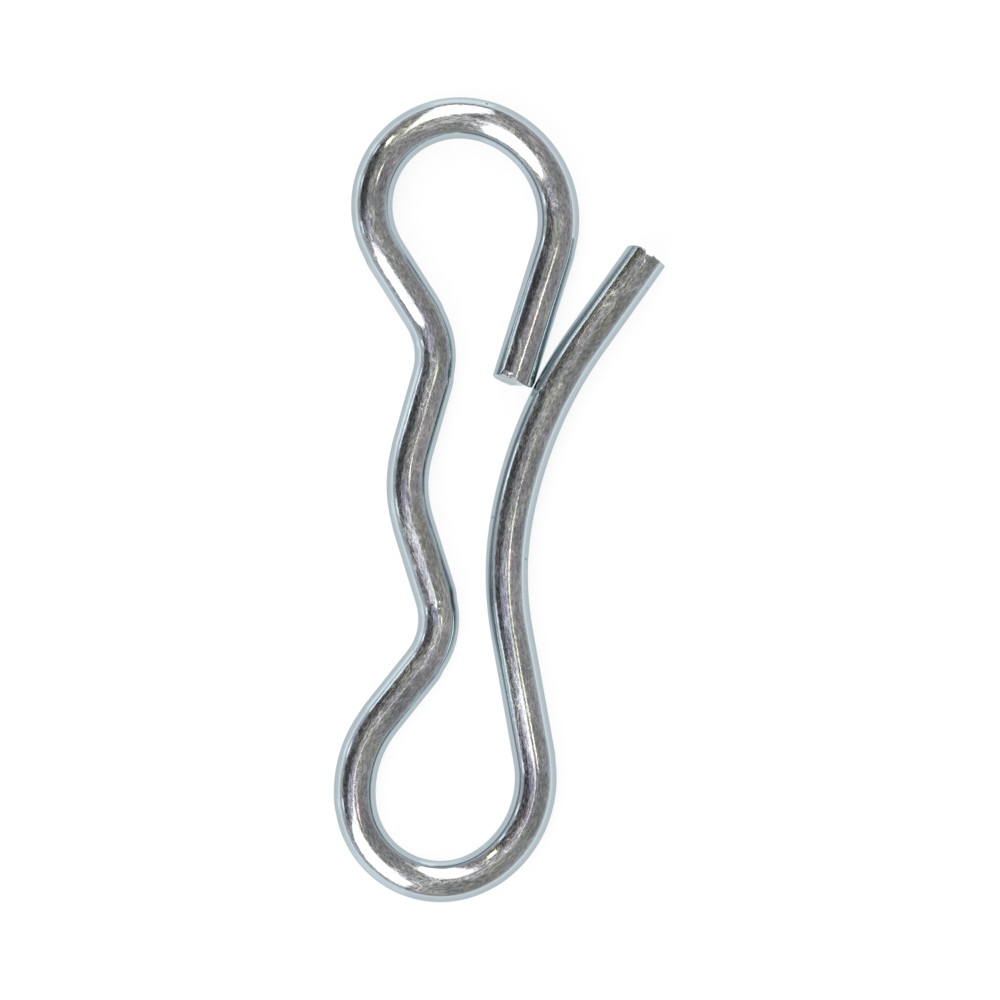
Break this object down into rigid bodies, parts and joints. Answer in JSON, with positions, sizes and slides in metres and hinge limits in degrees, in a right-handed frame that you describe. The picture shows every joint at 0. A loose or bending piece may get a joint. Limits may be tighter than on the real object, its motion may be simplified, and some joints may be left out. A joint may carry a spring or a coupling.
{
  "type": "bow tie cotter pin",
  "caption": "Spring wire cotter pin bent flat, with a saddle between closed bows and a long leg for a shaft's cross hole, held by a short tail.",
  "frame": {"origin": "on the axis of the shaft that the pin locks, at the mid-plane of the wire, where the leg crosses the shaft", "axes": "+Z along the shaft's axis, square to the flat wire form; +Y along the pin, towards the bow that the short tail closes; the saddle is on the -X side"},
  "size_m": [0.0236, 0.0573, 0.003],
  "materials": {
    "zinc_steel": "bright zinc plating with a clear passivation, over drawn spring steel wire"
  },
  "bodies": {
    "root": {"wire_pin": "zinc_steel"}
  },
  "joints": []
}
